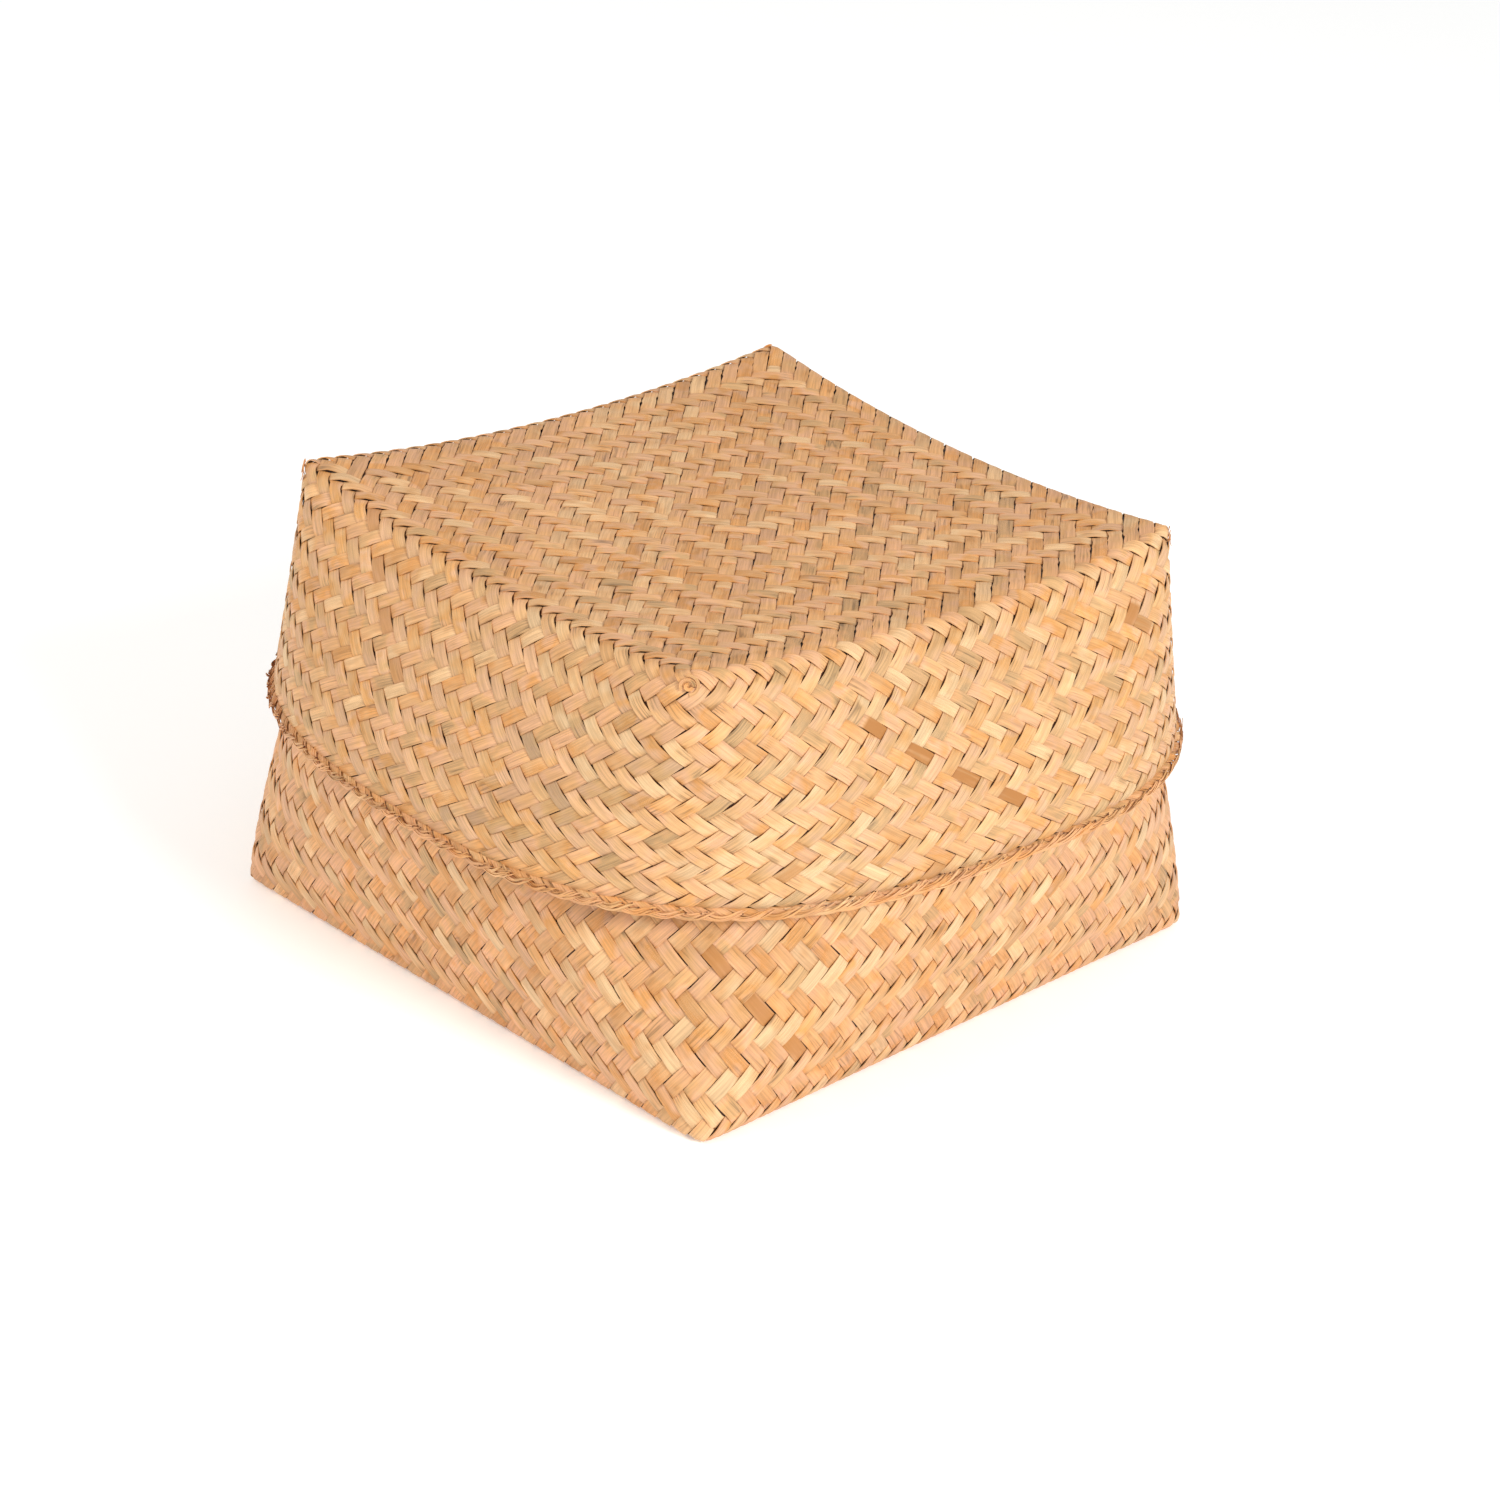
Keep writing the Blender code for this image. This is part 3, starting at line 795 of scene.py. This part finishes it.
def rescale(tree, place, value, start, end, low, high):
    """Turns what a socket gives from start to end into what runs from low to high."""
    node = add_node(tree, "ShaderNodeMapRange", place)
    for name, setting in (("Value", value), ("From Min", start), ("From Max", end),
                          ("To Min", low), ("To Max", high)):
        plug(tree, node.inputs[name], setting)
    return node.outputs["Result"]


def mix(tree, place, mode, factor, first, second):
    """A colour mix. Each of factor, first and second is a socket or a value."""
    node = add_node(tree, "ShaderNodeMix", place, data_type="RGBA", blend_type=mode)
    plug(tree, node.inputs[0], factor)
    plug(tree, node.inputs[6], first)
    plug(tree, node.inputs[7], second)
    return node.outputs[2]


def tint(tree, place, tone, by):
    """Multiplies a colour by a socket or by a colour."""
    if not isinstance(by, bpy.types.NodeSocket):
        by = (*by, 1)
    return mix(tree, place, "MULTIPLY", 1.0, tone, by)


def ramp(tree, place, value, stops):
    """A colour ramp driven by a socket; each stop is a position and a colour."""
    node = add_node(tree, "ShaderNodeValToRGB", place)
    plug(tree, node.inputs[0], value)
    elements = node.color_ramp.elements
    while len(elements) < len(stops):
        elements.new(0.5)
    for element, (position, tone) in zip(elements, stops):
        element.position = position
        element.color = (*tone, 1)
    return node.outputs[0]


def grey(value):
    return (value, value, value)


def new_socket(group, name, in_out, kind="NodeSocketFloat", default=None):
    socket = group.interface.new_socket(name=name, in_out=in_out, socket_type=kind)
    if default is not None:
        socket.default_value = default
    return socket


FIBRES = 1500.0      # to a metre across a strip; those of the border are finer
BORDER_FIBRES = 2500.0
STRIP_STEP = 7.31    # from one strip's noise to the next one's
CHANCES = ("Strip", 0.0, 320), ("Strip Shade", 0.37, 180)      # output, seed, place of the nodes
# Noises: output, patches along and across a strip for each fibre, detail, place of the nodes
NOISES = (("Fibre", 0.05, 1.0, 3.0, 0), ("Band", 0.02, 0.28, 1.0, -200),
          ("Mottle", 0.05, 0.05, 2.0, -400), ("Split", 0.012, 0.33, 0.0, -600))


def bamboo_grain_group():
    """Random tone of a strip, streaks along its fibres, and slow mottling along its length."""
    found = bpy.data.node_groups.get("bamboo_grain")
    if found:
        return found
    group = bpy.data.node_groups.new("bamboo_grain", "ShaderNodeTree")
    new_socket(group, "Laid Flat", "INPUT", "NodeSocketVector")
    new_socket(group, "Fibres per Metre", "INPUT", default=FIBRES)
    for name, *_ in CHANCES + NOISES:
        new_socket(group, name, "OUTPUT")
    inside = add_node(group, "NodeGroupInput", (-900, 0))
    outside = add_node(group, "NodeGroupOutput", (700, 0))
    parts = add_node(group, "ShaderNodeSeparateXYZ", (-700, 200))
    group.links.new(inside.outputs["Laid Flat"], parts.inputs[0])
    for name, seed, height in CHANCES:
        shifted = calculate(group, (-500, height), "ADD", parts.outputs["Z"], seed)
        chance = add_node(group, "ShaderNodeTexWhiteNoise", (-300, height), noise_dimensions="1D")
        group.links.new(shifted, chance.inputs["W"])
        group.links.new(chance.outputs["Value"], outside.inputs[name])
    for name, along, across, detail, height in NOISES:
        scale = add_node(group, "ShaderNodeCombineXYZ", (-500, height))
        for axis, share in (("X", along), ("Y", across)):
            fibres = inside.outputs["Fibres per Metre"]
            group.links.new(calculate(group, (-700, height), "MULTIPLY", fibres, share),
                            scale.inputs[axis])
        scale.inputs["Z"].default_value = STRIP_STEP
        stretched = add_node(group, "ShaderNodeVectorMath", (-300, height), operation="MULTIPLY")
        noise = add_node(group, "ShaderNodeTexNoise", (-100, height))
        noise.inputs["Scale"].default_value = 1
        noise.inputs["Detail"].default_value = detail
        group.links.new(inside.outputs["Laid Flat"], stretched.inputs[0])
        group.links.new(scale.outputs[0], stretched.inputs[1])
        group.links.new(stretched.outputs[0], noise.inputs["Vector"])
        group.links.new(noise.outputs["Fac"], outside.inputs[name])
    return group


# How the grain darkens a strip: an output of its group, the values at the darkest and at no
# shade, and the darkest tone
SHADES = ("Strip Shade", 0.0, 1.0, 0.79), ("Fibre", 0.36, 0.60, 0.80), ("Band", 0.3, 0.7, 0.84)
# Painted sheen and shade by family: tints of loose strips on the floor and roof, of tight strips,
# and of loose strips on the walls
FAMILY_SHEEN_TINTS = ((0.0, (0.925, 0.873, 0.814)), (0.5, (1.0, 0.97, 0.93)), (1.0, (0.97, 1.0, 1.0)))


def strip_tone(tree, grain, colours):
    """Each strip's hue, which drifts along it, with streaks, bands and a few splits."""
    drift = rescale(tree, (-1100, 400), grain.outputs["Mottle"], 0.3, 0.7, -0.2, 0.2)
    hue = calculate(tree, (-950, 300), "ADD", grain.outputs["Strip"], drift)
    tone = ramp(tree, (-850, 250), hue, [
        (0.0, colours.pale), (0.2, colours.straw), (0.38, colours.pink), (0.55, colours.straw),
        (0.72, colours.orange), (0.84, colours.pink), (0.93, colours.straw), (1.0, colours.grey)])
    for number, (output, low, high, darkest) in enumerate(SHADES):
        shade = ramp(tree, (-850, -250 * number), grain.outputs[output],
                     [(low, grey(darkest)), (high, grey(1.0))])
        tone = tint(tree, (-500 + 120 * number, 100), tone, shade)
    splits = ramp(tree, (-650, 500), grain.outputs["Split"],
                  [(0.455, grey(1.0)), (0.5, grey(0.55)), (0.545, grey(1.0))])
    split_here = ramp(tree, (-650, 700), grain.outputs["Mottle"],
                      [(0.5, grey(0.0)), (0.62, grey(1.0))])
    return mix(tree, (-160, 300), "MULTIPLY", split_here, tone, splits)


def family_sheen_tone(tree, tone):
    """Paints sheen and shade on one family of strips and the other, as the attribute pale says."""
    pale = add_node(tree, "ShaderNodeAttribute", (-1300, 900), attribute_name="pale")
    sheen_share = rescale(tree, (-1100, 900), pale.outputs["Fac"], -1, 1, 0, 1)
    return tint(tree, (-130, 500), tone, ramp(tree, (-850, 900), sheen_share, FAMILY_SHEEN_TINTS))


def stained_tone(tree, tone, stain, grain, colours):
    """Stains a strip in patches, brown where stain is above 0 and grey where it is below."""
    patchy = rescale(tree, (-850, -1250), grain.outputs["Band"], 0.25, 0.5, 0.45, 1)
    browned = calculate(tree, (-650, -1150), "MULTIPLY", stain, patchy)
    greyed = calculate(tree, (-450, -1150), "MULTIPLY", browned, -1)
    grey_tone = tint(tree, (-200, 250), tone, colours.greying)
    tone = mix(tree, (-150, 200), "MIX", greyed, tone, grey_tone)
    return mix(tree, (-100, 100), "MIX", browned, tone, (*colours.brown, 1))


def shaded_tone(tree, tone, over, edge, colours):
    """Paints shade on a strip where it goes under others, and a little along its edges."""
    out = rescale(tree, (-1000, -800), over, -0.5, 0.5, 0, 1)
    # Painted shade: dark under other strips, warm brown on the way under
    tuck_shade = ramp(tree, (-850, -800), out,
                  [(0.3, colours.gap), (0.5, colours.shade), (0.68, grey(1.0))])
    tone = tint(tree, (50, 100), tone, tuck_shade)
    # Painted shade along a strip's edges, between it and its neighbours
    beside = calculate(tree, (-1000, -1000), "ABSOLUTE", edge)
    edges = ramp(tree, (-850, -1000), beside, [(0.86, grey(1.0)), (1.0, grey(0.93))])
    return tint(tree, (200, 100), tone, edges)


def split_bamboo(name, colours, fibres=FIBRES, hue_and_painted_shade=(1, 1, 1)):
    """Strips of split bamboo, matt between their fibres and satin on them."""
    material, tree, shader = new_material(name)
    laid = add_node(tree, "ShaderNodeAttribute", (-1500, 0), attribute_name="laid_flat")
    grain = add_node(tree, "ShaderNodeGroup", (-1300, 0), node_tree=bamboo_grain_group())
    grain.inputs["Fibres per Metre"].default_value = fibres
    tree.links.new(laid.outputs["Vector"], grain.inputs["Laid Flat"])
    lie = add_node(tree, "ShaderNodeAttribute", (-1300, -900), attribute_name="lie")
    parts = add_node(tree, "ShaderNodeSeparateXYZ", (-1100, -900))
    tree.links.new(lie.outputs["Vector"], parts.inputs[0])
    over, edge, stain = parts.outputs
    tone = family_sheen_tone(tree, strip_tone(tree, grain, colours))
    # Painted shade for the base's strips; the fibres' own hue for the borders
    tone = tint(tree, (-115, 400), tone, hue_and_painted_shade)
    tone = stained_tone(tree, tone, stain, grain, colours)
    tree.links.new(shaded_tone(tree, tone, over, edge, colours), shader.inputs["Base Color"])
    rough = rescale(tree, (-400, -300), grain.outputs["Fibre"], 0, 1, 0.62, 0.42)
    tree.links.new(rough, shader.inputs["Roughness"])
    bump = add_node(tree, "ShaderNodeBump", (-250, -500))
    bump.inputs["Distance"].default_value = 0.00006
    bump.inputs["Strength"].default_value = 0.8
    tree.links.new(grain.outputs["Fibre"], bump.inputs["Height"])
    tree.links.new(bump.outputs["Normal"], shader.inputs["Normal"])
    shader.inputs["IOR"].default_value = 1.45
    return material


def cane(name, colours):
    """Peeled round cane, mottled from orange to straw."""
    material, tree, shader = new_material(name)
    place = add_node(tree, "ShaderNodeTexCoord", (-900, 0))
    noise = add_node(tree, "ShaderNodeTexNoise", (-700, 0))
    noise.inputs["Scale"].default_value = 300
    tree.links.new(place.outputs["Object"], noise.inputs["Vector"])
    tones = ramp(tree, (-450, 0), noise.outputs["Fac"],
                 [(0.3, colours.orange), (0.7, colours.straw)])
    tree.links.new(tones, shader.inputs["Base Color"])
    shader.inputs["Roughness"].default_value = 0.5
    return material


WHITE = (1, 1, 1, 1)


def paper(colours, glow):
    """Matt paper on the table, which gives off a little light itself."""
    material, _, shader = new_material("paper")
    shader.inputs["Base Color"].default_value = (*colours.floor, 1)
    shader.inputs["Roughness"].default_value = 0.9
    shader.inputs["Emission Color"].default_value = WHITE
    shader.inputs["Emission Strength"].default_value = glow
    return material


# Operators

FLOOR_REACH = 8     # metres from the basket to the floor's edges


class PlaitBase(Operator):
    """Plait the outside of the base"""
    bl_idname = "basket.plait_base"
    bl_label = "Plait Base"

    def execute(self, context):
        basket = context.scene.basket
        plaiting = basket.plaiting
        weave = Weave(base_half(basket.base, plaiting.base_row_crowding), plaiting.base_strips,
                      plaiting.base_rows, outside_up=False)
        # the base's strips carry painted shade over their own colour
        finish = split_bamboo("base_bamboo", basket.colours, hue_and_painted_shade=basket.colours.base_painted_shade)
        plait_layer("base", "outer_weave", weave, plaiting, finish, seed=10)
        return {"FINISHED"}


class LineBase(Operator):
    """Plait the lining of the base"""
    bl_idname = "basket.line_base"
    bl_label = "Line Base"

    def execute(self, context):
        basket = context.scene.basket
        plaiting = basket.plaiting
        weave = lining_weave(base_half(basket.base, plaiting.base_row_crowding),
                             plaiting.base_strips, plaiting.base_rows, False, plaiting)
        finish = split_bamboo("base_lining_bamboo", basket.colours)
        plait_layer("base", "lining", weave, plaiting, finish, seed=20)
        return {"FINISHED"}


class PlaitLid(Operator):
    """Plait the outside of the lid"""
    bl_idname = "basket.plait_lid"
    bl_label = "Plait Lid"

    def execute(self, context):
        basket = context.scene.basket
        plaiting = basket.plaiting
        weave = Weave(lid_half(basket.lid, plaiting.lid_row_crowding), plaiting.lid_strips,
                      plaiting.lid_rows, outside_up=True)
        finish = split_bamboo("lid_bamboo", basket.colours)
        plait_layer("lid", "outer_weave", weave, plaiting, finish, seed=30)
        return {"FINISHED"}


class LineLid(Operator):
    """Plait the lining of the lid"""
    bl_idname = "basket.line_lid"
    bl_label = "Line Lid"

    def execute(self, context):
        basket = context.scene.basket
        plaiting = basket.plaiting
        weave = lining_weave(lid_half(basket.lid, plaiting.lid_row_crowding),
                             plaiting.lid_strips, plaiting.lid_rows, True, plaiting)
        finish = split_bamboo("lid_lining_bamboo", basket.colours)
        plait_layer("lid", "lining", weave, plaiting, finish, seed=40)
        return {"FINISHED"}


class BendHoops(Operator):
    """Give the cane hoops their finish"""
    bl_idname = "basket.bend_hoops"
    bl_label = "Bend Hoops"

    def execute(self, context):
        finish = cane("hoop_cane", context.scene.basket.colours)
        for name in ("base_hoop", "lid_hoop"):
            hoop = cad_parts[name]
            hoop.data.materials.clear()
            hoop.data.materials.append(finish)
        return {"FINISHED"}


class FoldBorders(Operator):
    """Fold the strip ends over the hoops into slanting borders"""
    bl_idname = "basket.fold_borders"
    bl_label = "Fold Borders"

    def execute(self, context):
        basket = context.scene.basket
        plaiting = basket.plaiting
        border = basket.border
        finish = split_bamboo("border_bamboo", basket.colours, BORDER_FIBRES,
                              basket.colours.border_tint)
        for name, half, up, strips, seed in (
                ("base", base_half(basket.base), 1, plaiting.base_strips, 50),
                ("lid", lid_half(basket.lid), -1, plaiting.lid_strips, 60)):
            wrap_border(name, half, up, 4 * strips, border, plaiting.thickness, finish, seed)
            feather_border(name, half, up, 4 * strips, border, finish, seed + 1)
        curl_corner_ends(lid_half(basket.lid), border, finish, 70)
        return {"FINISHED"}


class LightStudio(Operator):
    """Lay the pale floor, hang the soft lights and set up the camera"""
    bl_idname = "basket.light_studio"
    bl_label = "Light Studio"

    def execute(self, context):
        basket = context.scene.basket
        studio = basket.studio
        self.set_up_camera(context.scene, studio)
        self.lay_floor(context.scene, studio, paper(basket.colours, studio.table_glow))
        self.hang_light("key_light", studio.key_place, studio.key_size, studio.key_power,
                        studio.key_tint)
        self.hang_light("fill_light", studio.fill_place, studio.fill_size, studio.fill_power,
                        studio.fill_tint)
        world = bpy.data.worlds.new("studio")
        world.use_nodes = True
        background = world.node_tree.nodes["Background"]
        background.inputs["Color"].default_value = WHITE
        background.inputs["Strength"].default_value = studio.sky
        context.scene.world = world
        context.scene.view_settings.view_transform = "Standard"
        return {"FINISHED"}

    @staticmethod
    def set_up_camera(scene, studio):
        data = bpy.data.cameras.new("camera")
        data.lens = studio.lens
        data.sensor_width = 36
        camera = bpy.data.objects.new("camera", data)
        scene.collection.objects.link(camera)
        looking = (Matrix.Rotation(studio.azimuth, 4, "Z")
                   @ Matrix.Rotation(math.pi / 2 - studio.elevation, 4, "X")
                   @ Matrix.Rotation(studio.roll, 4, "Z"))
        camera.matrix_world = Matrix.Translation(studio.camera_place) @ looking
        scene.camera = camera

    @staticmethod
    def lay_floor(scene, studio, finish):
        bm = bmesh.new()
        bmesh.ops.create_grid(bm, x_segments=1, y_segments=1, size=FLOOR_REACH,
                              matrix=Matrix.Translation((0, 0, -studio.table_drop)))
        mesh = bpy.data.meshes.new("paper_floor")
        bm.to_mesh(mesh)
        bm.free()
        mesh.materials.append(finish)
        floor = bpy.data.objects.new("paper_floor", mesh)
        scene.collection.objects.link(floor)

    @staticmethod
    def hang_light(name, place, size, power, light_tint):
        data = bpy.data.lights.new(name, "AREA")
        data.shape = "DISK"
        data.size = size
        data.energy = power
        data.color = light_tint
        light = bpy.data.objects.new(name, data)
        light.matrix_world = Matrix.Translation(place)
        towards_basket = (-light.matrix_world.translation).to_track_quat("-Z", "Y")
        light.rotation_euler = towards_basket.to_euler()
        bpy.context.scene.collection.objects.link(light)


class BasketPanel(Panel):
    """Buttons that make the basket, in order"""
    bl_idname = "VIEW3D_PT_basket"
    bl_label = "Lidded Bamboo Basket"
    bl_space_type = "VIEW_3D"
    bl_region_type = "UI"
    bl_category = "Basket"

    def draw(self, context):
        for operator in OPERATORS:
            self.layout.operator(operator.bl_idname)


OPERATORS = (PlaitBase, LineBase, PlaitLid, LineLid, BendHoops, FoldBorders, LightStudio)
CLASSES = (BaseSizes, LidSizes, Plaiting, BorderSizes, BambooColours, Studio, BasketSettings,
           *OPERATORS, BasketPanel)


def register():
    for item in CLASSES:
        bpy.utils.register_class(item)
    bpy.types.Scene.basket = PointerProperty(type=BasketSettings)


def unregister():
    del bpy.types.Scene.basket
    for item in reversed(CLASSES):
        bpy.utils.unregister_class(item)


def main():
    register()
    bpy.ops.basket.plait_base()
    bpy.ops.basket.line_base()
    bpy.ops.basket.plait_lid()
    bpy.ops.basket.line_lid()
    bpy.ops.basket.bend_hoops()
    bpy.ops.basket.fold_borders()
    bpy.ops.basket.light_studio()


if __name__ == "__main__":
    main()
